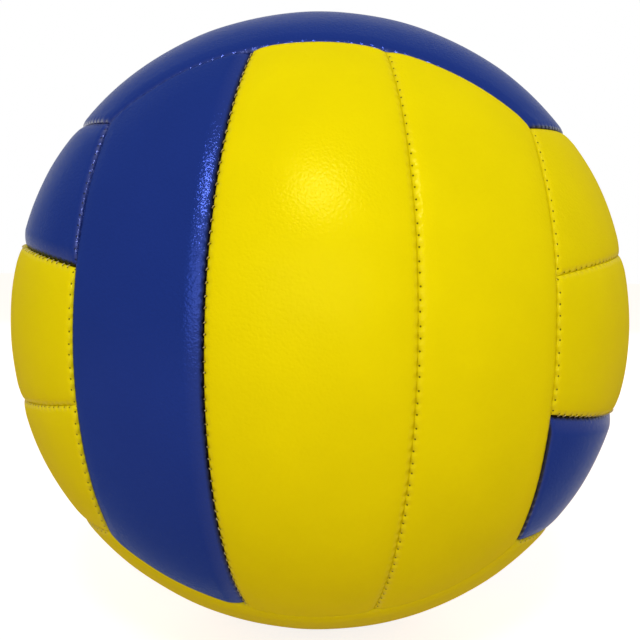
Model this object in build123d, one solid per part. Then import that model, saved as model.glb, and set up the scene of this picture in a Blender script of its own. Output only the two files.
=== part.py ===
from build123d import *
import os
from math import acos, asin, cos, degrees, sin, sqrt

# Size 5 indoor volleyball: eighteen padded strips, sewn three to a face, over an air bladder with a valve.
# The origin is the ball's centre and +Z is up. The faces at -Y and +Y have upright strips, those at -X and +X
# have strips along Y, and those at -Z and +Z have strips along X. The valve comes out at +Y.

# Driving dimensions of the cover, in millimetres
ball_diameter = 210.0
centre_strip_width = 52.8        # across the middle of a face's centre strip, along the surface
centre_strip_end_width = 37.5    # across the same strip where it meets the next face
side_strip_width = 43.3          # across the middle of a side strip, along the surface
skin_thickness = 0.8
foam_thickness = 3.2
lining_thickness = 0.4
glue_line = 0.05                 # between bonded layers
seam_gap = 0.3                   # between the turned-in margins of two strips
edge_roll_radius = 3.2           # outside of the skin, where it rolls over into a seam, and at strip corners
thread_diameter = 0.6
thread_clearance = 0.1           # from a seam's thread to the rolled skins beside it
thread_end_gap = 0.8             # from a thread's end to the seam that it runs up to

# Driving dimensions of the bladder and the valve, in millimetres
bladder_clearance = 0.3          # from the lining to the bladder
bladder_thickness = 0.5
valve_neck_diameter = 8.0
valve_neck_recess = 0.6          # from the ball's surface down to the neck's end
valve_hole_clearance = 0.2       # round the neck, in the cover and the bladder
valve_hole_round = 0.5           # rounded rim of the hole in the skin
valve_flange_diameter = 26.0
valve_flange_thickness = 1.2
valve_stem_diameter = 9.4
valve_stem_length = 15.0         # from the flange into the ball
valve_bore_diameter = 5.0
plug_clearance = 0.05            # between the plug and the valve body
plug_head_diameter = 6.4
plug_head_thickness = 1.3
plug_bead_diameter = 6.4         # bead that holds the plug under the stem's end
plug_bead_length = 2.4
plug_bead_round = 1.0            # at the bead's inner end
needle_channel_diameter = 1.9
needle_channel_length = 13.0     # straight wall, below the countersink
needle_entry_diameter = 3.4
needle_entry_depth = 0.7

# Radii of the layers, from the ball's centre
ball_radius = ball_diameter / 2
skin_inside = ball_radius - skin_thickness
foam_outside = skin_inside - glue_line
foam_inside = foam_outside - foam_thickness
lining_outside = foam_inside - glue_line
lining_inside = lining_outside - lining_thickness
bladder_outside = lining_inside - bladder_clearance
bladder_inside = bladder_outside - bladder_thickness
flange_outside = bladder_inside - glue_line
flange_inside = flange_outside - valve_flange_thickness

# A rounding takes no more than this share of the layer that it is cut from
rounding_share = 0.9
roll_radius = min(edge_roll_radius, skin_thickness + rounding_share * foam_thickness)
hole_round = min(valve_hole_round, rounding_share * skin_thickness)
skin_margin = seam_gap / 2
pocket_margin = skin_margin + skin_thickness
pad_margin = pocket_margin + glue_line

# Cutting tools reach past the ball by this much, and strips reach as far inside before they are trimmed
spare_share = 0.2
spare = spare_share * ball_radius
reach = ball_radius + spare
strip_floor = lining_inside - spare


def seam_through(first, second):
    """Offset and slope of the seam x = offset + slope * z through two (x, z) points of the unit ball."""
    slope = (first[0] - second[0]) / (first[1] - second[1])
    return first[0] - slope * first[1], slope


# A face is laid out with x across its strips, y along them and z out of the ball. Every seam is a circle on
# the ball, cut by the plane x = offset + slope * z for a seam along the strips. The long edges of a face meet
# the edges of its neighbours at the corner directions (1, 1, 1), and its ends are its neighbours' long edges.
edge_angle = (centre_strip_width / 2 + side_strip_width) / ball_radius
corner_step = 1 / sqrt(3)
edge_seam = seam_through((sin(edge_angle), cos(edge_angle)), (corner_step, corner_step))

inner_angle = centre_strip_width / 2 / ball_radius
inner_end_x = sin(centre_strip_end_width / 2 / ball_radius)


def end_seam_point(x):
    """The (y, z) point, at a given x, of the seam that ends a face's strips: z = offset + slope * y."""
    offset, slope = edge_seam
    steepness = 1 + slope ** 2
    root = sqrt(steepness * (1 - x ** 2) - offset ** 2)
    y = (root - offset * slope) / steepness
    return y, offset + slope * y


inner_end_y, inner_end_z = end_seam_point(inner_end_x)
inner_seam = seam_through((sin(inner_angle), cos(inner_angle)), (inner_end_x, inner_end_z))


def ball(radius):
    """A solid ball whose poles and seam line lie away from the face at +z."""
    return Plane((0, 0, 0), x_dir=(0, 0, -1), z_dir=(0, 1, 0)) * Sphere(radius)


def cone_from_centre(direction, behind, half_angle, inset):
    """The space within half_angle of a direction from the ball's centre, drawn in by inset on its side."""
    axis = Vector(*direction).normalized()
    tip = axis * (inset / sin(half_angle))
    start = Vector(*behind)
    start = (start - axis * start.dot(axis)).normalized()
    rim = (reach * sin(half_angle), reach * cos(half_angle))
    shoulder = (reach * sin(half_angle / 2), reach * cos(half_angle / 2))
    pole = (0, reach)
    outline = Line((0, 0), rim) + ThreePointArc(rim, shoulder, pole) + Line(pole, (0, 0))
    section = Plane(tip, x_dir=start, z_dir=start.cross(axis)) * make_face(outline)
    return revolve(section, Axis(tip, axis), 360)


def space_beyond(seam, side, inset):
    """The space outside a seam that runs along the strips, on the +x or -x side."""
    offset, slope = seam
    half_angle = acos(offset / sqrt(1 + slope ** 2))
    return cone_from_centre((side, 0, -slope), (0, 0, -1), half_angle, inset)


def space_past_end(side, inset):
    """The space outside the seam that ends the strips, at +y or -y."""
    offset, slope = edge_seam
    half_angle = acos(offset / sqrt(1 + slope ** 2))
    inside = cone_from_centre((0, -side * slope, 1), (0, -side, 0), half_angle, inset)
    return Pos(0, side * reach / 2, 0) * Box(2 * reach, reach, 2 * reach) - inside


def strip_block(is_centre, outside, margin, roll):
    """One strip, drawn in from its seams by a margin, with rolled rims and corners. It is deep inside."""
    block = ball(outside) - ball(strip_floor)
    for side in (1, -1):
        block -= space_past_end(side, margin)
    if is_centre:
        for side in (1, -1):
            block -= space_beyond(inner_seam, side, -margin)
    else:
        block &= space_beyond(inner_seam, 1, margin)
        block -= space_beyond(edge_seam, 1, -margin)
    above_floor = [edge for edge in block.edges() if (edge @ 0.5).length > strip_floor + skin_margin]
    return fillet(above_floor, roll)


def skin_strip(is_centre):
    """Synthetic leather, rolled over at its rim and turned in along the seams."""
    outer = strip_block(is_centre, ball_radius, skin_margin, roll_radius)
    pocket = strip_block(is_centre, skin_inside, pocket_margin, roll_radius - skin_thickness)
    return outer - pocket - ball(lining_inside)


def pad_strip(is_centre):
    """What fills the skin: the foam and the cloth behind it, before they are parted."""
    return strip_block(is_centre, foam_outside, pad_margin, roll_radius - skin_thickness - glue_line)


def foam_strip(is_centre):
    """The soft pad under the skin."""
    return pad_strip(is_centre) - ball(foam_inside)


def lining_strip(is_centre):
    """The cloth that backs the foam."""
    return (pad_strip(is_centre) & ball(lining_outside)) - ball(lining_inside)


def seam_thread(seam, end_y):
    """The thread in one seam, lying in the groove between two rolled rims."""
    offset, slope = seam
    length = sqrt(1 + slope ** 2)
    along_axis = offset / length
    off_axis = sqrt(1 - along_axis ** 2)
    seat = roll_radius + thread_diameter / 2 + thread_clearance
    height = sqrt(seat ** 2 - (roll_radius + skin_margin) ** 2)
    thread_from_centre = ball_radius - roll_radius + height
    circle_radius = thread_from_centre * off_axis
    half_turn = asin(end_y / off_axis) - thread_end_gap / circle_radius
    axis = Vector(1, 0, -slope) / length
    outward = Vector(slope, 0, 1) / length
    spoke = outward * cos(half_turn) + Vector(0, 1, 0) * sin(half_turn)
    start = axis * (thread_from_centre * along_axis) + spoke * circle_radius
    section = Plane(start, z_dir=axis.cross(spoke)) * Circle(thread_diameter / 2)
    return revolve(section, Axis((0, 0, 0), axis), degrees(2 * half_turn))


def cylinder_between(diameter, low, high):
    """A round bar along the valve's axis, between two distances from the ball's centre."""
    bar = Cylinder(diameter / 2, high - low, align=(Align.CENTER, Align.CENTER, Align.MIN))
    return Pos(0, 0, low) * bar


# Distances of the valve's ends from the ball's centre
neck_end = ball_radius - valve_neck_recess
stem_end = flange_inside - valve_stem_length
bead_top = stem_end - plug_clearance
plug_end = bead_top - plug_bead_length
valve_hole_diameter = valve_neck_diameter + 2 * valve_hole_clearance


def with_valve_hole(shape):
    """Cut the valve's way out through a layer of the cover or the bladder."""
    return shape - cylinder_between(valve_hole_diameter, stem_end, reach)


def with_round_hole_rim(skin):
    """Round the outer rim of the valve hole in the skin."""
    outermost = [edge for edge in skin.edges() if (edge @ 0.5).length > ball_radius - skin_margin]
    hole_centre = Vector(0, 0, ball_radius)
    rim = [edge for edge in outermost if (edge @ 0.5 - hole_centre).length < valve_hole_diameter]
    return fillet(rim, hole_round)


def bladder():
    """The air bladder: a hollow ball with a hole for the valve."""
    return with_valve_hole(ball(bladder_outside) - ball(bladder_inside))


def valve_body():
    """The boot: a neck through the cover, a dished flange under the bladder and a stem into the ball."""
    dish = ball(flange_outside) - ball(flange_inside)
    dish &= cylinder_between(valve_flange_diameter, stem_end, reach)
    body = dish + cylinder_between(valve_neck_diameter, stem_end, neck_end)
    body += cylinder_between(valve_stem_diameter, stem_end, flange_inside + valve_flange_thickness / 2)
    body -= cylinder_between(valve_bore_diameter, stem_end, neck_end)
    seat = neck_end - plug_head_thickness - plug_clearance
    return body - cylinder_between(plug_head_diameter + 2 * plug_clearance, seat, neck_end)


def valve_plug():
    """The self-sealing core: a head, a shank and a bead, with a blind channel for the needle."""
    plug = cylinder_between(valve_bore_diameter - 2 * plug_clearance, plug_end, neck_end)
    plug += cylinder_between(plug_head_diameter, neck_end - plug_head_thickness, neck_end)
    bead = cylinder_between(plug_bead_diameter, plug_end, bead_top)
    plug += fillet(bead.edges().group_by(Axis.Z)[0], plug_bead_round)
    channel_top = neck_end - needle_entry_depth
    plug -= cylinder_between(needle_channel_diameter, channel_top - needle_channel_length, neck_end)
    entry = Cone(needle_channel_diameter / 2, needle_entry_diameter / 2, needle_entry_depth,
                 align=(Align.CENTER, Align.CENTER, Align.MIN))
    return plug - Pos(0, 0, channel_top) * entry


# Each face: its outward direction, the direction across its strips, and the names of the strips at the
# positive and the negative end of that direction. Left and right are as seen from -Y.
faces = {
    "front": ((0, -1, 0), (1, 0, 0), "right", "left"),
    "back": ((0, 1, 0), (-1, 0, 0), "left", "right"),
    "left": ((-1, 0, 0), (0, 0, 1), "upper", "lower"),
    "right": ((1, 0, 0), (0, 0, -1), "lower", "upper"),
    "top": ((0, 0, 1), (0, -1, 0), "front", "rear"),
    "bottom": ((0, 0, -1), (0, 1, 0), "rear", "front"),
}
face_planes = {name: Plane((0, 0, 0), x_dir=across, z_dir=out) for name, (out, across, _, _) in faces.items()}
valve_face = "back"
half_turn_about_face = Rot(0, 0, 180)


def save(node, shape):
    """Write one piece."""
    export_step(shape, f"parts/{node}.step")


os.makedirs("parts", exist_ok=True)

layers = {"skin": skin_strip, "foam": foam_strip, "lining": lining_strip}
for layer, make_strip in layers.items():
    centre = make_strip(True)
    side = make_strip(False)
    holed_centre = with_valve_hole(centre)
    if layer == "skin":
        holed_centre = with_round_hole_rim(holed_centre)
    for face, (_, _, positive_name, negative_name) in faces.items():
        plane = face_planes[face]
        save(f"{layer}_{face}_centre", plane * (holed_centre if face == valve_face else centre))
        save(f"{layer}_{face}_{positive_name}", plane * side)
        save(f"{layer}_{face}_{negative_name}", plane * (half_turn_about_face * side))

face_threads = [seam_thread(inner_seam, inner_end_y), seam_thread(edge_seam, corner_step)]
face_threads += [half_turn_about_face * thread for thread in face_threads]
threads = [plane * thread for plane in face_planes.values() for thread in face_threads]
save("seam_thread", Compound(children=threads))

valve_plane = face_planes[valve_face]
save("bladder", valve_plane * bladder())
save("valve_body", valve_plane * valve_body())
save("valve_plug", valve_plane * valve_plug())
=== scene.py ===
# %% [markdown]
# # A sewn volleyball
# A volleyball is a padded cover over an air bladder. The cover has six faces, and each face is three
# strips of synthetic leather over foam, sewn edge to edge. This lesson dresses the ball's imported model:
# the bladder and the valve keep their solids and get a rubber finish, while the cover and its stitches
# are made here, because soft rolled edges, grain and thread are what the eye looks for on a ball.

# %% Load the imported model
from math import asin, atan2, cos, pi, radians, sin, sqrt

import bmesh
import bpy
from mathutils import Matrix, Vector


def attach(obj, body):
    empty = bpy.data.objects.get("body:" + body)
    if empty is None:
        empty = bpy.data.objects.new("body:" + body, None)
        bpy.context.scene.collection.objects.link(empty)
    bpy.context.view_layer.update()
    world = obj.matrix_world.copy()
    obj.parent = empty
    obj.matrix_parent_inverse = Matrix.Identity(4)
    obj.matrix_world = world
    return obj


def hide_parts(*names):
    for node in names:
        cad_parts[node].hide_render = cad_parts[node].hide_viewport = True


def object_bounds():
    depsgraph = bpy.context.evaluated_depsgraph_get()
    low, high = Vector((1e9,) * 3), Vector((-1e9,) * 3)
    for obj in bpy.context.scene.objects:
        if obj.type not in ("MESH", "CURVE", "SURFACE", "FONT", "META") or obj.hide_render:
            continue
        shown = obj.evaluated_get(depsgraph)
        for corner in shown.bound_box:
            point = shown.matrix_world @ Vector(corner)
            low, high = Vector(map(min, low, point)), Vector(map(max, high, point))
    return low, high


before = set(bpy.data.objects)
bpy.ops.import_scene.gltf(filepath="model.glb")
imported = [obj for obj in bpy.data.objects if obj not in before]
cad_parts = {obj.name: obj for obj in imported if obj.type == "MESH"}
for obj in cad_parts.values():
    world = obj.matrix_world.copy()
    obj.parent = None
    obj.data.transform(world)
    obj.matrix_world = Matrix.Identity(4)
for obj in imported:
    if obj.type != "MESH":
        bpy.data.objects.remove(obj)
cad_low, cad_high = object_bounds()
ball_radius = (cad_high.z - cad_low.z) / 2
print("CAD nodes:", len(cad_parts), "ball radius:", round(ball_radius, 4))

# %% [markdown]
# ## The layout of the seams
# Every seam of the cover is a circle on the ball. Seen from above one face, with x across its strips, y
# along them and z out of the ball, a seam along the strips is where the plane x = offset + slope * z cuts
# the ball. The outer seams of all six faces meet in threes at the corner directions of a cube, and the
# ends of a face's strips are the outer seams of its neighbours. So three widths, measured on the ball,
# give every seam.

# %% Seams from three widths
centre_width = 0.0528
centre_end_width = 0.0375
side_width = 0.0433


def seam_through(first, second):
    """Offset and slope of the seam through two (x, z) points of a unit ball."""
    slope = (first[0] - second[0]) / (first[1] - second[1])
    return first[0] - slope * first[1], slope


corner = 1 / sqrt(3)
outer_angle = (centre_width / 2 + side_width) / ball_radius
outer_offset, outer_slope = seam_through((sin(outer_angle), cos(outer_angle)), (corner, corner))


def strip_end(x):
    """The (y, z) point of the end seam at a given x."""
    steep = 1 + outer_slope ** 2
    y = (sqrt(steep * (1 - x ** 2) - outer_offset ** 2) - outer_offset * outer_slope) / steep
    return y, outer_offset + outer_slope * y


inner_angle = centre_width / 2 / ball_radius
inner_end_x = sin(centre_end_width / 2 / ball_radius)
inner_end_y, inner_end_z = strip_end(inner_end_x)
inner_offset, inner_slope = seam_through((sin(inner_angle), cos(inner_angle)), (inner_end_x, inner_end_z))
print("outer seam:", round(outer_offset, 4), round(outer_slope, 4))
print("inner seam:", round(inner_offset, 4), round(inner_slope, 4))

# %% [markdown]
# Each seam is sewn with a whole number of stitches. The number is found here, once, so that the thread,
# the needle holes and the small puckers in the leather all fall at the same places. A stitch also wanders
# from its even place, by a share of the pitch times the sine of its number, so thread and holes wander
# together.

# %% Stitch counts
stitch_pitch = 0.0032
stitch_wander = 0.07
wander_step = 2.399


def seam_run(offset, slope, end_y):
    """Half the angle that a seam runs through, round its own axis, and its number of stitches."""
    circle = sqrt(1 - offset ** 2 / (1 + slope ** 2))
    half_turn = asin(end_y / circle)
    return half_turn, round(2 * half_turn * circle * ball_radius / stitch_pitch)


inner_turn, inner_stitches = seam_run(inner_offset, inner_slope, inner_end_y)
outer_turn, outer_stitches = seam_run(outer_offset, outer_slope, corner)
inner_values = (inner_offset, inner_slope, inner_turn, inner_stitches)
outer_values = (outer_offset, outer_slope, outer_turn, outer_stitches)
print("stitches in an inner seam:", inner_stitches, "and in an outer seam:", outer_stitches)

# %% [markdown]
# ## The six faces
# The strips of each face run square to those of the faces beside it. A face is given by the way it looks
# and the way across its strips, and by the names of the strips at the two sides. One side strip of each
# face is blue. The blue strips meet in threes at two opposite corners, where each ends against the next.

# %% Faces
faces = {
    "front": ((0, -1, 0), (1, 0, 0), "right", "left"),
    "back": ((0, 1, 0), (-1, 0, 0), "left", "right"),
    "left": ((-1, 0, 0), (0, 0, 1), "upper", "lower"),
    "right": ((1, 0, 0), (0, 0, -1), "lower", "upper"),
    "top": ((0, 0, 1), (0, -1, 0), "front", "rear"),
    "bottom": ((0, 0, -1), (0, 1, 0), "rear", "front"),
}
blue_strips = {"front_left", "back_right", "left_upper", "right_lower", "top_front", "bottom_rear"}
valve_strip = "back_centre"
print("strips:", 3 * len(faces), "of which blue:", len(blue_strips))

# %% [markdown]
# ## Building node trees from arithmetic
# The strips follow a rule that is easier to read as a formula than as a picture of boxes. A value in a
# tree can be wrapped in a small class whose plus, minus, times and divide each add one Math node. The
# same class serves geometry trees and shader trees.


# %% A value inside a node tree
class Value:
    """The output of a node, which Python's arithmetic turns into further nodes."""

    def __init__(self, tree, socket):
        self.tree = tree
        self.socket = socket

    def math(self, operation, *others):
        """A Math node that has this value first."""
        node = self.tree.nodes.new("ShaderNodeMath")
        node.operation = operation
        for place, item in zip(node.inputs, (self, *others)):
            feed(self.tree, place, item)
        return Value(self.tree, node.outputs[0])

    def __add__(self, other):
        return self.math("ADD", other)

    __radd__ = __add__

    def __sub__(self, other):
        return self.math("SUBTRACT", other)

    def __rsub__(self, other):
        return (self * -1) + other

    def __mul__(self, other):
        return self.math("MULTIPLY", other)

    __rmul__ = __mul__

    def __truediv__(self, other):
        return self.math("DIVIDE", other)

    def squared(self):
        """The value times itself."""
        return self * self

    def root(self):
        """The square root."""
        return self.math("SQRT")

    def limited(self):
        """Kept between 0 and 1."""
        return self.math("MAXIMUM", 0.0).math("MINIMUM", 1.0)

    def falling(self, reach):
        """1 at nothing, falling in a straight line to 0 at reach and past it."""
        return (1.0 - self / reach).limited()


def feed(tree, place, item):
    """Give a socket a number, or the output of another node."""
    if isinstance(item, Value):
        tree.links.new(item.socket, place)
    else:
        place.default_value = item


print("values take plus, minus, times and divide")

# %% [markdown]
# A few helpers keep the trees short. One adds a node and feeds it. The others wrap the nodes that come up
# most: those that take vectors apart, build them, stretch them and put two together, and noise.


# %% Helpers for nodes
def add_node(tree, kind, settings=None, **inputs):
    """A node with its settings and its inputs, which are named with underscores for spaces."""
    node = tree.nodes.new(kind)
    for name, value in (settings or {}).items():
        setattr(node, name, value)
    for name, item in inputs.items():
        feed(tree, node.inputs[name.replace("_", " ")], item)
    return node


def output_of(tree, node, output=0):
    """One output of a node, by its number or its name, as a value."""
    return Value(tree, node.outputs[output])


def fixed(tree, number):
    """A number as a value of the tree."""
    node = tree.nodes.new("ShaderNodeValue")
    node.outputs[0].default_value = number
    return output_of(tree, node)


def parts_of(tree, vector):
    """The x, y and z of a vector."""
    node = add_node(tree, "ShaderNodeSeparateXYZ", Vector=vector)
    return [Value(tree, out) for out in node.outputs]


def vector_of(tree, x, y, z):
    """A vector from its three parts."""
    node = tree.nodes.new("ShaderNodeCombineXYZ")
    for place, item in zip(node.inputs, (x, y, z)):
        feed(tree, place, item)
    return output_of(tree, node)


def stretched(tree, vector, factor):
    """A vector made longer or shorter."""
    node = add_node(tree, "ShaderNodeVectorMath", {"operation": "SCALE"}, Vector=vector, Scale=factor)
    return output_of(tree, node)


def vector_math(tree, operation, first, second):
    """Two vectors put together by a node whose two sockets share one name."""
    node = add_node(tree, "ShaderNodeVectorMath", {"operation": operation})
    feed(tree, node.inputs[0], first)
    feed(tree, node.inputs[1], second)
    return output_of(tree, node)


def noise(tree, where, **inputs):
    """Noise at a place, about a half and between 0 and 1."""
    return output_of(tree, add_node(tree, "ShaderNodeTexNoise", Vector=where, **inputs))


print("node helpers are ready")

# %% [markdown]
# ## One padded strip
# On the real ball a strip is a flat cut-out of leather glued to foam. Its edges roll over where it is
# sewn to the next, and air pressure stretches the rest over the bladder. It could be cut from a sphere
# and bevelled, but then the grid would not follow the seams. Here a Geometry Nodes tree lays a flat grid
# between the strip's own four seams by a closed formula, so rows of the grid run along the seams and
# crowd towards them, and the roll is a smooth function of the distance to each seam. One tree makes all
# eighteen strips from different inputs.

# %% The strip tree, part one: inputs
strip_tree = bpy.data.node_groups.new("padded_strip", "GeometryNodeTree")
strip_inputs = {
    "cells across": "Int", "cells along": "Int",
    "near offset": "Float", "near slope": "Float", "near turn": "Float", "near stitches": "Float",
    "far offset": "Float", "far slope": "Float", "far turn": "Float", "far stitches": "Float",
    "near holes": "Float", "far holes": "Float", "start holes": "Float", "end holes": "Float",
    "across": "Vector", "along": "Vector", "outward": "Vector",
    "ball radius": "Float", "inside radius": "Float", "seam gap": "Float",
    "roll width": "Float", "roll depth": "Float",
    "bevel width": "Float", "near bevel": "Float", "far bevel": "Float",
    "crown": "Float", "unevenness": "Float",
    "hole radius": "Float", "hole roll": "Float", "finish": "Material",
}


def open_tree(tree, inputs):
    """Give a tree its named inputs and a geometry output. Returns the inputs' identifiers and values."""
    identifiers = {}
    for name, kind in inputs.items():
        socket = tree.interface.new_socket(name, in_out="INPUT", socket_type="NodeSocket" + kind)
        identifiers[name] = socket.identifier
    tree.interface.new_socket("Geometry", in_out="OUTPUT", socket_type="NodeSocketGeometry")
    start = tree.nodes.new("NodeGroupInput")
    values = {name: Value(tree, start.outputs[name]) for name in inputs}
    return identifiers, values


def close_tree(tree, geometry, finish):
    """End a tree with real geometry, shaded smooth and in one finish."""
    real = add_node(tree, "GeometryNodeRealizeInstances", Geometry=geometry)
    smooth = add_node(tree, "GeometryNodeSetShadeSmooth", Geometry=output_of(tree, real))
    painted = add_node(tree, "GeometryNodeSetMaterial", Geometry=output_of(tree, smooth), Material=finish)
    feed(tree, tree.nodes.new("NodeGroupOutput").inputs[0], output_of(tree, painted))


strip_sockets, given = open_tree(strip_tree, strip_inputs)
print("strip tree inputs:", len(strip_sockets))

# %% [markdown]
# The grid's two coordinates run from -1 to 1. A sine crowds the rows towards the edges, where the roll
# needs them. Across the strip, offset and slope go from those of the near seam to those of the far one.
# Along it, the planes turn about one line, so that the last of them is the end seam's plane. Where the
# two planes and the unit ball meet is the root of a quadratic.

# %% The strip tree, part two: the place on the ball
crowding = 0.8
end_lean = atan2(*strip_end(0.0))


def crowded(value):
    """The same range, with its steps closer together towards both ends."""
    reach = crowding * pi / 2
    return (value * reach).math("SINE") / sin(reach)


def stored(mesh, name, vector):
    """The strip's mesh with a vector kept on its points."""
    settings = {"data_type": "FLOAT_VECTOR", "domain": "POINT"}
    node = add_node(strip_tree, "GeometryNodeStoreNamedAttribute", settings,
                    Geometry=mesh, Name=name, Value=vector)
    return output_of(strip_tree, node)


grid = add_node(strip_tree, "GeometryNodeMeshGrid", Size_X=2.0, Size_Y=2.0,
                Vertices_X=given["cells across"], Vertices_Y=given["cells along"])
grid_place = output_of(strip_tree, add_node(strip_tree, "GeometryNodeInputPosition"))
across_grid, along_grid, _ = parts_of(strip_tree, grid_place)
half_gap_across = given["seam gap"] / (2 * side_width)
half_gap_along = given["seam gap"] / (2 * end_lean * ball_radius)
share = crowded(across_grid) * (1.0 - half_gap_across) * 0.5 + 0.5
offset = given["near offset"] + (given["far offset"] - given["near offset"]) * share
slope = given["near slope"] + (given["far slope"] - given["near slope"]) * share

lean = crowded(along_grid) * (1.0 - half_gap_along) * end_lean
turn = lean.math("SINE") / (lean.math("COSINE") - outer_offset)
shift = turn * -outer_offset
square = slope * slope + turn * turn + 1.0
middle = offset * slope + shift * turn
rest = offset * offset + shift * shift - 1.0
height = ((middle * middle - square * rest).root() - middle) / square
place = vector_of(strip_tree, offset + slope * height, shift + turn * height, height)

laid = stored(output_of(strip_tree, grid, "Mesh"), "on_ball", place)
print("nodes so far:", len(strip_tree.nodes))

# %% [markdown]
# The place on the ball is stored on the points, so that the later steps read it back. From it come the
# distances to the four seams along the surface, and the number of stitches counted along each seam. Both
# are kept on the mesh, with a third number for the holes and the tuck of the edge, and the leather's
# material reads them to put holes and puckers at every stitch.

# %% The strip tree, part three: distances to the seams
to_millimetres = 1000.0
on_ball = add_node(strip_tree, "GeometryNodeInputNamedAttribute", {"data_type": "FLOAT_VECTOR"},
                   Name="on_ball")
x, y, z = parts_of(strip_tree, output_of(strip_tree, on_ball, "Attribute"))


def seam_reading(side, forward, run, seam_offset, seam_slope, seam_turn, stitches):
    """Distance from the seam side = offset + slope * forward, and the stitches counted along it."""
    length = (seam_slope * seam_slope + 1.0).root()
    to_axis = ((side - seam_slope * forward) / length).math("ARCCOSINE")
    on_seam = (seam_offset / length).math("ARCCOSINE")
    distance = (to_axis - on_seam).math("ABSOLUTE") * given["ball radius"]
    out = (side * seam_slope + forward) / length
    count = (run.math("ARCTAN2", out) / seam_turn + 1.0) * 0.5 * stitches
    return distance, count


def chosen(first, second, is_second):
    """The second value where the last one is 1, and the first where it is 0."""
    return first + (second - first) * is_second


near_distance, near_count = seam_reading(x, z, y, given["near offset"], given["near slope"],
                                         given["near turn"], given["near stitches"])
far_distance, far_count = seam_reading(x, z, y, given["far offset"], given["far slope"],
                                       given["far turn"], given["far stitches"])
end_distance, end_count = seam_reading(z, y.math("ABSOLUTE"), x, fixed(strip_tree, outer_offset),
                                       fixed(strip_tree, outer_slope), outer_turn, outer_stitches)
on_far_half = far_distance.math("LESS_THAN", near_distance)
on_start_half = y.math("LESS_THAN", 0.0)
long_reading = vector_of(strip_tree, chosen(near_count, far_count, on_far_half),
                         chosen(near_distance, far_distance, on_far_half) * to_millimetres,
                         chosen(given["near holes"], given["far holes"], on_far_half))
end_reading = vector_of(strip_tree, end_count, end_distance * to_millimetres,
                        chosen(given["end holes"], given["start holes"], on_start_half))
print("nodes so far:", len(strip_tree.nodes))

# %% [markdown]
# The top of the strip drops away near each seam: along the long seams first in a gentle slope, where the
# sewing pulls the padding down, and then in a quarter of an ellipse, where the leather rolls over. At a
# corner the drops of two seams add like the sides of a right angle, which rounds it. A crown lifts the
# middle a little, slow noise makes the surface as uneven as a hand-sewn cover, and the strip with the
# valve also rolls in round its hole.

# %% The strip tree, part four: the top and the underside
crown_reach = 0.02
bevel_power = 1.4
valve_reach = 0.0012
uneven_scale = 38.0


def closeness(reach):
    """From 0, at a distance from every seam, to 1 on a seam, squared."""
    total = 0.0
    for distance in (near_distance, far_distance, end_distance):
        total = distance.falling(reach).squared() + total
    return total.limited()


def rolled(close, depth):
    """A drop along a quarter of an ellipse, where close is a squared closeness."""
    return (1.0 - (1.0 - close).root()) * depth


def bevelled(distance, depth):
    """A gentle slope down to a long seam."""
    return distance.falling(given["bevel width"]).math("POWER", bevel_power) * depth


def on_face(radius):
    """A point of the strip at a distance from the ball's centre, turned into the face's place."""
    sideways = stretched(strip_tree, given["across"], x * radius)
    lengthways = stretched(strip_tree, given["along"], y * radius)
    outwards = stretched(strip_tree, given["outward"], z * radius)
    return vector_math(strip_tree, "ADD", vector_math(strip_tree, "ADD", sideways, lengthways), outwards)


roll = rolled(closeness(given["roll width"]), given["roll depth"])
bevel = bevelled(near_distance, given["near bevel"]) + bevelled(far_distance, given["far bevel"])
sunk = closeness(crown_reach) * given["crown"]
from_valve = (x * x + y * y).root() * given["ball radius"] - given["hole radius"]
into_valve = from_valve.math("MAXIMUM", 0.0).falling(valve_reach)
valve_drop = rolled(into_valve.squared(), given["hole roll"])
slow_noise = noise(strip_tree, on_face(given["ball radius"]), Scale=uneven_scale, Detail=1.0)
uneven = (slow_noise - 0.5) * given["unevenness"]
under_place = on_face(given["inside radius"])
top_place = on_face(given["ball radius"] - roll - bevel - sunk - valve_drop + uneven)
print("nodes so far:", len(strip_tree.nodes))

# %% [markdown]
# Last, the solid. The underside is the grid at the lining's radius. Extruding all its faces gives a copy
# joined to it by walls, and the copy is moved to the top. A flipped underside closes the shape, and
# merging by distance welds the two, so the strip is one closed skin.

# %% The strip tree, part five: a closed solid
weld_distance = 0.000001


def moved(mesh, position, **selection):
    """The strip's mesh with its points, or the selected ones, at new places."""
    node = add_node(strip_tree, "GeometryNodeSetPosition", Geometry=mesh, Position=position, **selection)
    return output_of(strip_tree, node)


marked = stored(stored(laid, "long_seam", long_reading), "end_seam", end_reading)
underside = moved(marked, under_place)
raised = add_node(strip_tree, "GeometryNodeExtrudeMesh", {"mode": "FACES"},
                  Mesh=underside, Offset_Scale=0.0, Individual=False)
topside = moved(output_of(strip_tree, raised, "Mesh"), top_place,
                Selection=output_of(strip_tree, raised, "Top"))
flipped = add_node(strip_tree, "GeometryNodeFlipFaces", Mesh=underside)
joined = strip_tree.nodes.new("GeometryNodeJoinGeometry")
feed(strip_tree, joined.inputs[0], output_of(strip_tree, flipped))
feed(strip_tree, joined.inputs[0], topside)
welded = add_node(strip_tree, "GeometryNodeMergeByDistance", Geometry=output_of(strip_tree, joined),
                  Distance=weld_distance)
close_tree(strip_tree, output_of(strip_tree, welded), given["finish"])
print("strip tree nodes:", len(strip_tree.nodes))
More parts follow.
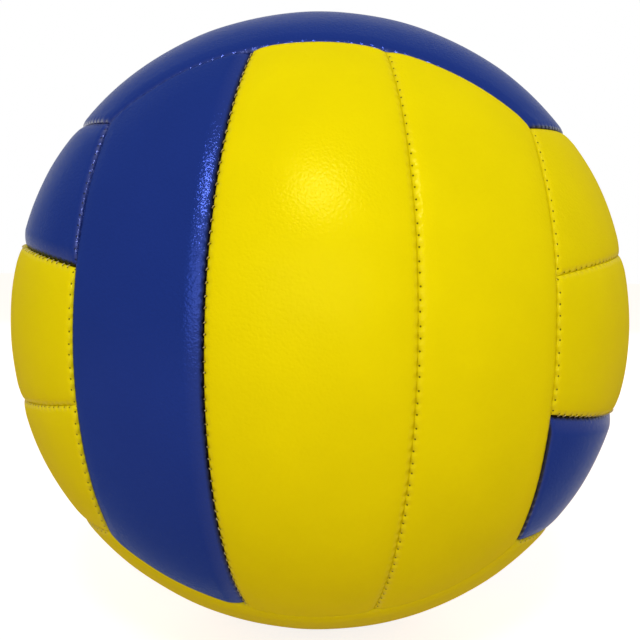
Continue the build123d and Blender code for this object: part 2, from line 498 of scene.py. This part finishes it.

# %% [markdown]
# ## Synthetic leather
# The cover is a soft coated leather cloth: a satin skin with a fine pebble grain, creases where the edge
# is bent over, and a small pit with a pucker at each stitch. Its gloss comes from a thin clear coat and
# from a little pearl in the pigment, which keeps the highlights as strong in colour as the skin. Pictures
# could carry this, but they would not follow the seams. The grain is noise on Object coordinates, and the
# rest reads the two seam attributes of the strip. Their first number counts stitches, and the second is
# the distance in millimetres. The third is 1 where the needle went through this side, and -1 where the
# edge is tucked down into the gap, which gets a painted shade. All the lengths in the leather are in
# millimetres.

# %% Marks along the seams
hole_length = 0.20
hole_width = 0.16
hole_fade_end = 1.6
hole_from_seam = 0.42
hole_scatter = 0.08
scatter_step = 1.713
pucker_length = 0.9
pucker_width = 1.1
long_tuck_reach = 1.6
end_tuck_reach = 0.9
pressed_reach = 5.0


def in_oval(along, length, aside, width):
    """The squared distance from the middle of an oval, which is 1 on its edge."""
    return (along / length).squared() + (aside / width).squared()


def seam_marks(tree, name):
    """Needle holes, puckers, the distance to a seam and its tuck, from one of the seam attributes."""
    reading = add_node(tree, "ShaderNodeAttribute", {"attribute_name": name})
    count, away, holed = parts_of(tree, output_of(tree, reading, "Vector"))
    number = count.math("ROUND")
    wander = (number * wander_step).math("SINE") * stitch_wander
    along = (count - number - wander) * (stitch_pitch * to_millimetres)
    aside = away - ((number * scatter_step).math("SINE") * hole_scatter + hole_from_seam)
    spot = in_oval(along, hole_length, aside, hole_width).root()
    hole = (hole_fade_end - spot).limited() * holed.limited()
    pucker = (in_oval(along, pucker_length, away, pucker_width) * -1.0).math("EXPONENT")
    tucked = (holed * -1.0).limited()
    return hole, pucker, away, tucked


def marks_of_seams(tree):
    """The marks of the long seams and the end seams together."""
    long_hole, long_pucker, long_away, long_tucked = seam_marks(tree, "long_seam")
    end_hole, end_pucker, end_away, end_tucked = seam_marks(tree, "end_seam")
    long_tuck = long_away.falling(long_tuck_reach) * long_tucked
    return {
        "hole": long_hole.math("MAXIMUM", end_hole),
        "pucker": long_pucker.math("MAXIMUM", end_pucker),
        "away": long_away.math("MINIMUM", end_away),
        "tuck": long_tuck.math("MAXIMUM", end_away.falling(end_tuck_reach) * end_tucked),
        "pressed": long_away.falling(pressed_reach) * long_tucked,
    }


print("needle holes:", hole_length, "by", hole_width, "mm")

# %% [markdown]
# All the finishes here start from the same few nodes, so these are wrapped once: a new material that
# knows the place on its piece, a mix of two colours, a ramp from one colour to another, and a bump.


# %% Helpers for finishes
def new_finish(name):
    """A new material, its node tree, its shader and the place on the piece."""
    finish = bpy.data.materials.new(name)
    finish.use_nodes = True
    tree = finish.node_tree
    where = output_of(tree, add_node(tree, "ShaderNodeTexCoord"), "Object")
    return finish, tree, tree.nodes["Principled BSDF"], where


def feed_all(tree, node, items):
    """Give several sockets of a node their numbers, colours or values."""
    for name, item in items.items():
        feed(tree, node.inputs[name], item)


def mixed_colour(tree, share, first, second):
    """A colour between two. In the Mix node those for colours are inputs 6 and 7 and output 2."""
    node = add_node(tree, "ShaderNodeMix", {"data_type": "RGBA"})
    feed(tree, node.inputs[0], share)
    node.inputs[6].default_value = first
    node.inputs[7].default_value = second
    return output_of(tree, node, 2)


def ramp(tree, value, low, low_colour, high, high_colour):
    """A colour that goes from one to another while a value goes from low to high."""
    node = add_node(tree, "ShaderNodeValToRGB", Fac=value)
    first, last = node.color_ramp.elements
    first.position = low
    first.color = low_colour
    last.position = high
    last.color = high_colour
    return output_of(tree, node)


def bumped(tree, height, strength, distance):
    """A normal that follows a height."""
    node = add_node(tree, "ShaderNodeBump", Strength=strength, Distance=distance, Height=height)
    return output_of(tree, node)


print("finish helpers are ready")

# %% [markdown]
# The colour is painted darker along the seams, as painted shade: a little over a few millimetres, more on
# the seam's own line, and black where an edge is tucked down into the gap. The needle holes are painted
# dark, for the dirt and the shade in them. The edges are also burnished, so the clear coat is thicker
# there, and it is thickest on the bare rims of the blue strips.

# %% Colour and coat of the leather
seam_shade_reach = 3.2
seam_shade_strength = 0.05
line_shade_reach = 0.8
line_shade_strength = 0.05
tuck_shade_strength = 1.7
# Needle holes are painted dark, partly for the dirt in them and partly as painted shade.
hole_dirt_and_shade = 0.85
cloud_tone = 0.10
burnish_reach = 1.8
rim_reach = 1.0


def leather_colour(tree, marks, cloud, colour, dirt_and_shade_colour):
    """The skin's colour, clouded a little, with painted shade along the seams and painted dirt and shade in
    the holes.
    """
    # Painted shade: a little darker near every seam, darker on its line, and black where the edge is tucked
    # in.
    seam_shade = marks["away"].falling(seam_shade_reach).squared() * seam_shade_strength
    edge = marks["away"].falling(line_shade_reach) * line_shade_strength + marks["tuck"] * tuck_shade_strength
    shade = (1.0 - (marks["hole"] * hole_dirt_and_shade + seam_shade + edge)).limited()
    clouded = add_node(tree, "ShaderNodeHueSaturation", Value=cloud * cloud_tone + 1.0,
                       Color=mixed_colour(tree, shade, dirt_and_shade_colour, colour))
    return output_of(tree, clouded)


def leather_coat(marks, coat, edge_coat, rim_coat):
    """The weight of the clear coat."""
    burnish = marks["away"].falling(burnish_reach).math("MAXIMUM", marks["pressed"])
    rim = marks["away"].falling(rim_reach) * (1.0 - marks["tuck"]).limited()
    return burnish * edge_coat + rim * rim_coat + coat


print("edges are burnished over", burnish_reach, "mm")

# %% [markdown]
# Grain is pressed into the skin by a roller. It could be sculpted, but it is far too fine for a mesh, so
# it is a bump: soft pebbles, a finer noise over them, and creases that are deeper near the edges. Holes
# and puckers are taken off the same height.

# %% Grain, creases and holes
pebble_share = 0.5
fine_share = 0.35
crease_reach = 7.0
crease_at_edge = 0.5
crease_elsewhere = 0.2
hole_depth = 2.0
pucker_depth = 1.4


def leather_relief(tree, where, marks, fine, grain_depth):
    """The height of grain and creases, less the holes and puckers."""
    pebble = add_node(tree, "ShaderNodeTexVoronoi", {"feature": "SMOOTH_F1"}, Vector=where, Scale=1350.0)
    grain = output_of(tree, pebble) * pebble_share + fine * fine_share
    crease = noise(tree, where, Scale=700.0, Detail=2.0, Distortion=1.2)
    folds = crease * (marks["away"].falling(crease_reach) * crease_at_edge + crease_elsewhere)
    return (grain + folds) * grain_depth - marks["hole"] * hole_depth - marks["pucker"] * pucker_depth


print("creases reach", crease_reach, "mm from the seams")

# %% [markdown]
# The two leathers are the same cloth in two colours. Both are the Principled shader with its plain gloss
# turned off. The yellow is satin, and the blue is smoother, with more pearl, so that its bent edges
# shine.

# %% The two leathers
cloud_gloss = 0.16
fine_gloss = 0.12
hole_roughness = 0.3


def leather_finish(name, colour, dirt_and_shade_colour, pearl, pearl_tint, roughness, coat, edge_coat, rim_coat,
                   grain_depth):
    """Grained synthetic leather with needle holes and puckers along its seams."""
    finish, tree, shader, where = new_finish(name)
    marks = marks_of_seams(tree)
    fine = noise(tree, where, Scale=2600.0, Detail=3.0)
    cloud = noise(tree, where, Scale=55.0, Detail=4.0) - 0.5
    mottled = cloud * cloud_gloss + (fine - 0.5) * fine_gloss + roughness
    relief = leather_relief(tree, where, marks, fine, grain_depth)
    normal = bumped(tree, relief, strength=0.8, distance=0.0003)
    feed_all(tree, shader, {
        "Base Color": leather_colour(tree, marks, cloud, colour, dirt_and_shade_colour),
        "Metallic": pearl, "Specular Tint": pearl_tint, "Specular IOR Level": 0.0,
        "Roughness": mottled + marks["hole"] * hole_roughness,
        "Coat Weight": leather_coat(marks, coat, edge_coat, rim_coat), "Coat Roughness": 0.14,
        "Normal": normal, "Coat Normal": normal,
    })
    return finish


# The second colour of each leather is the dark of its painted shade along the seams and of the dirt and
# shade in its needle holes.
yellow_leather = leather_finish("yellow_leather", (0.87, 0.765, 0.001, 1), (0.09, 0.065, 0.001, 1),
                                pearl=0.04, pearl_tint=(1.0, 0.9, 0.2, 1), roughness=0.35, coat=0.03,
                                edge_coat=0.14, rim_coat=0.0, grain_depth=0.5)
blue_leather = leather_finish("blue_leather", (0.010, 0.032, 0.228, 1), (0.001, 0.002, 0.012, 1),
                              pearl=0.35, pearl_tint=(0.4, 0.5, 0.8, 1), roughness=0.14, coat=0.08,
                              edge_coat=0.22, rim_coat=0.65, grain_depth=0.8)
print("leathers:", yellow_leather.name, blue_leather.name)

# %% [markdown]
# ## The eighteen strips
# Each strip gets its own object with the tree as a modifier, its inputs set before it is first evaluated,
# and is then turned into a plain mesh. It stands for the three layers of that strip in the model: skin,
# foam and lining. The strip with the valve has a finer grid, for the round hole that is cut through it.

# %% Strip helpers
cells_across = 72
cells_along = 190
valve_cells_across = 110
valve_cells_along = 300
valve_hole_radius = 0.0042
tucked_depth = 0.0015
eased_depth = 0.0005


def mirrored(seam):
    """The same seam on the other side of the face."""
    return (-seam[0], -seam[1], seam[2], seam[3])


def plain_mesh(thing):
    """Turn a piece with a modifier into a plain mesh."""
    bpy.context.view_layer.update()
    graph = bpy.context.evaluated_depsgraph_get()
    mesh = bpy.data.meshes.new_from_object(thing.evaluated_get(graph), preserve_all_data_layers=True,
                                           depsgraph=graph)
    spare = thing.data
    thing.modifiers.clear()
    thing.data = mesh
    bpy.data.meshes.remove(spare)
    return thing


def grown(name, tree, sockets, values, mesh=None):
    """A new piece made by a geometry tree with these input values."""
    thing = bpy.data.objects.new(name, mesh or bpy.data.meshes.new(name))
    bpy.context.scene.collection.objects.link(thing)
    modifier = thing.modifiers.new(tree.name, "NODES")
    modifier.node_group = tree
    for key, value in values.items():
        modifier[sockets[key]] = value
    return plain_mesh(thing)


print("strip grid:", cells_across, "by", cells_along)

# %% [markdown]
# How an edge looks depends on the strip beside it. Inside a face, the blue edge next to the centre strip
# is tucked in and slopes down to it. A blue end is tucked in too where it meets a yellow strip, and all
# other ends have needle holes. At a seam inside a face, only one of the two strips has holes.


# %% Grow the strips
def ends_at(face, way):
    """The side strip of another face at which the strips of this face end, going one way along them."""
    outward, across = Vector(faces[face][0]), Vector(faces[face][1])
    for other, (other_outward, other_across, positive, negative) in faces.items():
        if Vector(other_outward) == outward.cross(across) * way:
            return f"{other}_{positive if Vector(other_across) == outward else negative}"


def grow_strip(face, place, near, far, near_holed, far_holed):
    """One strip of a face, between two seams that run along it."""
    outward, across = faces[face][0], faces[face][1]
    name = f"{face}_{place}"
    has_valve = name == valve_strip
    is_blue = name in blue_strips
    start_tucked = is_blue and ends_at(face, -1) not in blue_strips
    end_tucked = is_blue and ends_at(face, 1) not in blue_strips
    near_tucked = is_blue and abs(near[0]) == inner_offset
    far_tucked = is_blue and abs(far[0]) == inner_offset
    values = {
        "cells across": valve_cells_across if has_valve else cells_across,
        "cells along": valve_cells_along if has_valve else cells_along,
        "near holes": -1.0 if near_tucked else float(near_holed),
        "far holes": -1.0 if far_tucked else float(far_holed),
        "start holes": -1.0 if start_tucked else 1.0,
        "end holes": -1.0 if end_tucked else 1.0,
        "across": across, "along": tuple(Vector(outward).cross(Vector(across))), "outward": outward,
        "ball radius": ball_radius, "inside radius": 0.10055, "seam gap": 0.0001,
        "roll width": 0.0024, "roll depth": 0.0008 if is_blue else 0.00055,
        "bevel width": 0.0055,
        "near bevel": tucked_depth if near_tucked else eased_depth,
        "far bevel": tucked_depth if far_tucked else eased_depth,
        "crown": 0.0004, "unevenness": 0.0006,
        "hole radius": valve_hole_radius, "hole roll": 0.0006 if has_valve else 0.0,
        "finish": blue_leather if is_blue else yellow_leather,
    }
    for end, seam in (("near", near), ("far", far)):
        for part, value in zip(("offset", "slope", "turn", "stitches"), seam):
            values[f"{end} {part}"] = float(value)
    return grown(f"strip_{name}", strip_tree, strip_sockets, values)


strips = {}
for face, (_, _, positive, negative) in faces.items():
    blue_is_positive = f"{face}_{positive}" in blue_strips
    for place, near, far, near_holed, far_holed in (
        (negative, mirrored(outer_values), mirrored(inner_values), False, blue_is_positive),
        ("centre", mirrored(inner_values), inner_values, not blue_is_positive, blue_is_positive),
        (positive, inner_values, outer_values, not blue_is_positive, False),
    ):
        strips[f"{face}_{place}"] = grow_strip(face, place, near, far, near_holed, far_holed)
print("strips:", len(strips), "faces in one:", len(strips["front_centre"].data.polygons))

# %% [markdown]
# The hole for the valve is a Boolean with a round bar. The bar is a throwaway mesh, and the modifier is
# applied in the same way as the trees are.

# %% Cut the valve hole
bar_length = 0.02
bar_place = Matrix.Translation((0, ball_radius, 0)) @ Matrix.Rotation(pi / 2, 4, "X")
bar_mesh = bpy.data.meshes.new("hole_bar")
shape = bmesh.new()
bmesh.ops.create_cone(shape, cap_ends=True, segments=96, radius1=valve_hole_radius,
                      radius2=valve_hole_radius, depth=bar_length, matrix=bar_place)
shape.to_mesh(bar_mesh)
shape.free()
bar = bpy.data.objects.new("hole_bar", bar_mesh)
bpy.context.scene.collection.objects.link(bar)
cut = strips[valve_strip].modifiers.new("valve_hole", "BOOLEAN")
cut.operation = "DIFFERENCE"
cut.object = bar
plain_mesh(strips[valve_strip])
bpy.data.objects.remove(bar)
bpy.data.meshes.remove(bar_mesh)
print("faces in the valve strip:", len(strips[valve_strip].data.polygons))

# %% [markdown]
# Each strip then rides on the ball's body, and the solids of its skin, foam and lining are hidden, since
# the strip takes their place.

# %% Attach the strips and hide their solids
for name, strip in strips.items():
    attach(strip, "root")
    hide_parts(f"skin_{name}", f"foam_{name}", f"lining_{name}")
    "blue_skin" if name in blue_strips else "yellow_skin"
print("strips declared:", len(strips))

# %% [markdown]
# ## Stitches
# The cover is sewn from the inside, and what shows between two strips is a short slanting pull of waxed
# thread every three millimetres. A Geometry Nodes tree takes each seam as a curve, puts points along it
# by count, and sets one bent thread on each, across the seam, with a small wander and a seeded slant. It
# is the way to make anything that repeats along a path.

# %% The stitch tree, part one: places along a seam
stitch_tree = bpy.data.node_groups.new("seam_stitches", "GeometryNodeTree")
stitch_inputs = {
    "Seam": "Geometry", "stitches": "Int", "pull length": "Float", "thread thickness": "Float",
    "arch": "Float", "sink": "Float", "tilt": "Float", "slant": "Float", "wander": "Float",
    "seed": "Int", "finish": "Material",
}
stitch_sockets, sewn = open_tree(stitch_tree, stitch_inputs)
points_in_seam = sewn["stitches"] + 1.0

as_curve = add_node(stitch_tree, "GeometryNodeMeshToCurve", Mesh=sewn["Seam"])
spaced = add_node(stitch_tree, "GeometryNodeResampleCurve", Curve=output_of(stitch_tree, as_curve),
                  Count=points_in_seam)
tangent = output_of(stitch_tree, add_node(stitch_tree, "GeometryNodeInputTangent"))
position = output_of(stitch_tree, add_node(stitch_tree, "GeometryNodeInputPosition"))
index = output_of(stitch_tree, add_node(stitch_tree, "GeometryNodeInputIndex"))
stitch_number = index.math("MODULO", points_in_seam)
step_aside = stretched(stitch_tree, tangent, (stitch_number * wander_step).math("SINE") * sewn["wander"])
nudged = add_node(stitch_tree, "GeometryNodeSetPosition", Geometry=output_of(stitch_tree, spaced),
                  Offset=step_aside)
print("nodes so far:", len(stitch_tree.nodes))

# %% [markdown]
# One pull is a short arch of thread. Its ends dip, and a tilt makes one end lower than the other. It is
# set on every point but the two ends of the seam, facing out of the ball and turned by a slant of its
# own.

# %% The stitch tree, part two: one pull on every point
least_sway = 0.55
most_sway = 1.45

pull_end = sewn["sink"] * -1.0 - sewn["arch"]
pull = add_node(stitch_tree, "GeometryNodeCurveQuadraticBezier", Resolution=5,
                Start=vector_of(stitch_tree, sewn["pull length"] * -0.5, 0.0, pull_end + sewn["tilt"]),
                Middle=vector_of(stitch_tree, 0.0, 0.0, sewn["arch"] - sewn["sink"]),
                End=vector_of(stitch_tree, sewn["pull length"] * 0.5, 0.0, pull_end - sewn["tilt"]))
section = add_node(stitch_tree, "GeometryNodeCurvePrimitiveCircle", Resolution=6,
                   Radius=sewn["thread thickness"] * 0.5)
thread = add_node(stitch_tree, "GeometryNodeCurveToMesh", Curve=output_of(stitch_tree, pull),
                  Profile_Curve=output_of(stitch_tree, section), Fill_Caps=True)

facing = add_node(stitch_tree, "FunctionNodeAxesToRotation", {"primary_axis": "Z", "secondary_axis": "X"},
                  Primary_Axis=position,
                  Secondary_Axis=vector_math(stitch_tree, "CROSS_PRODUCT", tangent, position))
sway = add_node(stitch_tree, "FunctionNodeRandomValue", {"data_type": "FLOAT"}, Seed=sewn["seed"])
sway.inputs[2].default_value = least_sway
sway.inputs[3].default_value = most_sway
leaning = add_node(stitch_tree, "FunctionNodeAxisAngleToRotation",
                   Angle=sewn["slant"] * output_of(stitch_tree, sway, 1))
turned = add_node(stitch_tree, "FunctionNodeRotateRotation", {"rotation_space": "LOCAL"},
                  Rotation=output_of(stitch_tree, facing), Rotate_By=output_of(stitch_tree, leaning))
ends = add_node(stitch_tree, "GeometryNodeCurveEndpointSelection")
between_ends = add_node(stitch_tree, "FunctionNodeBooleanMath", {"operation": "NOT"})
feed(stitch_tree, between_ends.inputs[0], output_of(stitch_tree, ends))
sewing = add_node(stitch_tree, "GeometryNodeInstanceOnPoints", Points=output_of(stitch_tree, nudged),
                  Selection=output_of(stitch_tree, between_ends), Instance=output_of(stitch_tree, thread),
                  Rotation=output_of(stitch_tree, turned))
close_tree(stitch_tree, output_of(stitch_tree, sewing), sewn["finish"])
print("stitch tree nodes:", len(stitch_tree.nodes))

# %% [markdown]
# Thread is twisted and waxed: it has a soft shine, and its colour changes a little from pull to pull. A
# fine noise gives the twist, and a slow one gives the change.

# %% The thread finish
thread_finish, thread_tree, thread_shader, thread_where = new_finish("waxed_thread")
thread_tone = noise(thread_tree, thread_where, Scale=260.0, Detail=2.0)
thread_twist = noise(thread_tree, thread_where, Scale=9000.0, Detail=2.0)
feed_all(thread_tree, thread_shader, {
    "Base Color": ramp(thread_tree, thread_tone, 0.35, (0.60, 0.50, 0.12, 1), 0.65, (0.85, 0.77, 0.40, 1)),
    "Roughness": 0.6, "Specular IOR Level": 0.1,
    "Normal": bumped(thread_tree, thread_twist, strength=0.5, distance=0.0001),
})
print("thread finish:", thread_finish.name)

# %% [markdown]
# The seams themselves are circles about their own axes, so their curves come from the same offset and
# slope as the strips. They are plain lines of points, which the stitch tree turns into curves.

# %% Lines along the seams
arc_steps = 48


def blue_side(face):
    """The side of a face, 1 or -1, that has its blue strip."""
    return 1 if f"{face}_{faces[face][2]}" in blue_strips else -1


def seam_lines(name, seam, sides):
    """A mesh of the seams of one kind on the chosen sides of each face, as lines of points."""
    seam_offset, seam_slope, seam_turn, _ = seam
    length = sqrt(1 + seam_slope ** 2)
    axis_part = seam_offset / length
    circle = sqrt(1 - axis_part ** 2)
    lines = bmesh.new()
    for face, (outward, across, _, _) in faces.items():
        out, side = Vector(outward), Vector(across)
        run = out.cross(side)
        for sign in sides(face):
            axis = (side * sign - out * seam_slope) / length
            spoke = (side * sign * seam_slope + out) / length
            row = []
            for step in range(arc_steps + 1):
                angle = seam_turn * (2 * step / arc_steps - 1)
                direction = axis * axis_part + (spoke * cos(angle) + run * sin(angle)) * circle
                row.append(lines.verts.new(direction * ball_radius))
            for first, second in zip(row, row[1:]):
                lines.edges.new((first, second))
    mesh = bpy.data.meshes.new(name)
    lines.to_mesh(mesh)
    lines.free()
    return mesh


print("points in a seam's line:", arc_steps + 1)

# %% [markdown]
# The thread is set a little below the ball's surface, down in the groove between two rolled edges. Beside
# a blue strip, whose edge is pulled lower, each pull tilts towards it, and in the tight outer seams the
# thread lies deep in the gap. All the pulls are put together in one piece.

# %% Sew the seams
blue_sink = 0.00105
blue_tilt = 0.00045
yellow_sink = 0.0018
outer_sink = 0.0021

sewn_pieces = []
for name, seam, sides, sink, tilt, seed in (
    ("blue_seams_at_plus", inner_values, lambda face: {1} & {blue_side(face)}, blue_sink, blue_tilt, 3),
    ("blue_seams_at_minus", inner_values, lambda face: {-1} & {blue_side(face)}, blue_sink, -blue_tilt, 4),
    ("yellow_seams", inner_values, lambda face: {-blue_side(face)}, yellow_sink, 0.0, 5),
    ("outer_seams", outer_values, lambda face: (1, -1), outer_sink, 0.0, 8),
):
    sewn_pieces.append(grown(name, stitch_tree, stitch_sockets, {
        "stitches": int(seam[3]), "pull length": 0.0008, "thread thickness": 0.00021, "arch": 0.00014,
        "sink": sink, "tilt": tilt, "slant": radians(28), "wander": stitch_wander * stitch_pitch,
        "seed": seed, "finish": thread_finish,
    }, seam_lines(name, seam, sides)))

whole = bmesh.new()
for piece in sewn_pieces:
    whole.from_mesh(piece.data)
stitch_mesh = bpy.data.meshes.new("seam_stitches")
whole.to_mesh(stitch_mesh)
whole.free()
stitch_mesh.materials.append(thread_finish)
stitches = bpy.data.objects.new("seam_stitches", stitch_mesh)
bpy.context.scene.collection.objects.link(stitches)
for piece in sewn_pieces:
    bpy.data.objects.remove(piece)
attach(stitches, "root")
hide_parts("seam_thread")
print("stitch faces:", len(stitch_mesh.polygons))

# %% [markdown]
# ## Rubber inside
# The bladder, the valve body and its plug are moulded rubber, and their solids already have the right
# shape. They only need a finish: a dull skin with faint mould speckle and a little bloom, which is the
# pale dust that rubber gathers.


# %% Rubber finishes
def rubber_finish(name, colour, bloom_colour, roughness):
    """Dull rubber with paler, rougher patches of bloom."""
    finish, tree, shader, where = new_finish(name)
    bloom = noise(tree, where, Scale=240.0, Detail=5.0)
    speckle = noise(tree, where, Scale=3200.0, Detail=2.0)
    feed_all(tree, shader, {
        "Base Color": ramp(tree, bloom, 0.4, colour, 0.75, bloom_colour),
        "Roughness": bloom * 0.2 + roughness,
        "Normal": bumped(tree, speckle, strength=0.25, distance=0.0001),
    })
    return finish


rubbers = {
    "bladder": rubber_finish("bladder_rubber", (0.020, 0.020, 0.021, 1), (0.045, 0.045, 0.047, 1), 0.5),
    "valve_body": rubber_finish("valve_rubber", (0.030, 0.030, 0.031, 1), (0.060, 0.060, 0.062, 1), 0.5),
    "valve_plug": rubber_finish("plug_rubber", (0.055, 0.053, 0.050, 1), (0.100, 0.097, 0.092, 1), 0.45),
}
for node, finish in rubbers.items():
    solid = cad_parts[node]
    if not solid.data.materials:
        solid.data.materials.append(finish)
    solid.material_slots[0].material = finish
print("rubber parts:", list(rubbers))

# %% [markdown]
# ## Floor, light and camera
# The ball stands on a pale floor. The background is white to the camera, in reflections and through glass
# only, so it adds no light to the ball, and the floor is lifted in the same way but keeps the ball's
# shadow.


# %% Floor
def seen_rays(tree):
    """1 for rays that show what they hit, straight, in a reflection or through glass, and 0 for light."""
    path = add_node(tree, "ShaderNodeLightPath")
    seen = output_of(tree, path, "Is Camera Ray")
    for ray in ("Is Glossy Ray", "Is Transmission Ray"):
        seen = seen.math("MAXIMUM", output_of(tree, path, ray))
    return seen


floor_lift = 0.8
floor_mesh = bpy.data.meshes.new("floor")
sheet = bmesh.new()
bmesh.ops.create_circle(sheet, cap_ends=True, segments=128, radius=6.0,
                        matrix=Matrix.Translation((0, 0, cad_low.z)))
sheet.to_mesh(floor_mesh)
sheet.free()
floor = bpy.data.objects.new("floor", floor_mesh)
bpy.context.scene.collection.objects.link(floor)
floor_finish = bpy.data.materials.new("pale_floor")
floor_finish.use_nodes = True
floor_tree = floor_finish.node_tree
floor_tree.nodes.clear()
floor_paint = add_node(floor_tree, "ShaderNodeBsdfDiffuse", Color=(0.62, 0.52, 0.44, 1))
floor_glow = add_node(floor_tree, "ShaderNodeEmission", Strength=seen_rays(floor_tree) * floor_lift)
floor_sum = floor_tree.nodes.new("ShaderNodeAddShader")
feed(floor_tree, floor_sum.inputs[0], output_of(floor_tree, floor_paint))
feed(floor_tree, floor_sum.inputs[1], output_of(floor_tree, floor_glow))
floor_out = floor_tree.nodes.new("ShaderNodeOutputMaterial")
feed(floor_tree, floor_out.inputs[0], output_of(floor_tree, floor_sum))
floor_mesh.materials.append(floor_finish)
print("floor at", round(cad_low.z, 4))

# %% [markdown]
# A small soft light high above the camera shapes the ball, a broad low one fills the front, one behind
# the ball lights its back, and a warm room fills the shadows.

# %% Room and light
fill_level = 0.42
lamp_distance = 1.3
world = bpy.data.worlds.new("white_room")
bpy.context.scene.world = world
world.use_nodes = True
room = world.node_tree
room.nodes.clear()
room_seen = seen_rays(room)
room_colour = mixed_colour(room, room_seen, (1.0, 0.80, 0.66, 1), (1, 1, 1, 1))
room_fill = add_node(room, "ShaderNodeBackground", Color=room_colour,
                     Strength=room_seen * (1.0 - fill_level) + fill_level)
room_out = room.nodes.new("ShaderNodeOutputWorld")
feed(room, room_out.inputs[0], output_of(room, room_fill))


def soft_box(name, bearing, lift, width, height, power):
    """A soft lamp aimed at the ball, at an angle round from the front and an angle above the floor."""
    lamp_data = bpy.data.lights.new(name, "AREA")
    lamp_data.shape = "RECTANGLE"
    lamp_data.size = width
    lamp_data.size_y = height
    lamp_data.energy = power
    lamp = bpy.data.objects.new(name, lamp_data)
    bpy.context.scene.collection.objects.link(lamp)
    lamp.location = Vector((sin(bearing) * cos(lift), -cos(bearing) * cos(lift), sin(lift))) * lamp_distance
    lamp.rotation_euler = (-lamp.location).to_track_quat("-Z", "Y").to_euler()
    print(name, "at", [round(part, 3) for part in lamp.location])


soft_box("key_box", bearing=0.0, lift=radians(46), width=0.20, height=0.18, power=5.5)
soft_box("front_box", bearing=0.0, lift=radians(14), width=0.8, height=0.6, power=3.5)
soft_box("back_box", bearing=pi, lift=radians(8), width=0.5, height=0.4, power=7.0)

# %% [markdown]
# The camera stands close, so the ball shows less than its front half. The ball is seen turned by a few
# degrees. It stays square to the frame, and the camera goes round it the other way instead.

# %% Camera
view_distance = 2.8373 * ball_radius
view_angle = 2 * asin(0.36305)
ball_turn = Vector((0.0718, 0.0177, -0.0217))
turn_back = Matrix.Rotation(ball_turn.length, 3, ball_turn.normalized()).transposed()
camera_data = bpy.data.cameras.new("camera")
camera_data.sensor_width = 36.0
camera_data.angle = view_angle
camera_data.clip_start = 0.01
camera = bpy.data.objects.new("camera", camera_data)
bpy.context.scene.collection.objects.link(camera)
axes = [turn_back @ Vector(way) for way in ((1, 0, 0), (0, 0, 1), (0, -1, 0))]
placed = Matrix([[axes[column][row] for column in range(3)] for row in range(3)]).to_4x4()
placed.translation = turn_back @ Vector((0, -view_distance, 0))
camera.matrix_world = placed
bpy.context.scene.camera = camera
bpy.context.scene.view_settings.view_transform = "Standard"
print("camera at", [round(part, 4) for part in camera.location])
